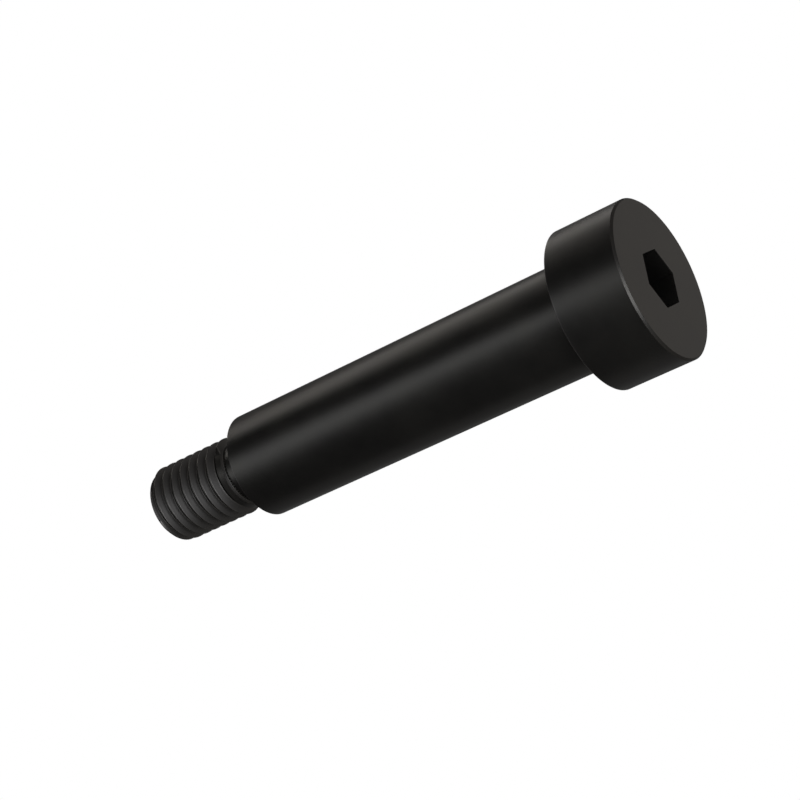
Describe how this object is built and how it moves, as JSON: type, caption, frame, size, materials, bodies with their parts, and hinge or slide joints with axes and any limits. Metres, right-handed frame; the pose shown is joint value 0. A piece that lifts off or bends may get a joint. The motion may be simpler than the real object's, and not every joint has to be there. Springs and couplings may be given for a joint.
{
  "type": "shoulder bolt",
  "caption": "Hexagon socket head shoulder bolt: plain cylindrical head, long ground shoulder, relieved neck and a right-hand metric thread, in black-oxide steel.",
  "frame": {"origin": "centre of the head's face, on the surface that the bolt stands on", "axes": "+Z along the bolt's axis from the head's face to the tip of the thread, +X through a corner of the hexagon socket"},
  "size_m": [0.024, 0.024, 0.089],
  "materials": {
    "black_oxide_steel": "black oxide on turned and ground alloy steel, satin with a thin film of oil"
  },
  "bodies": {
    "root": {"shoulder_bolt": "black_oxide_steel"}
  },
  "joints": []
}
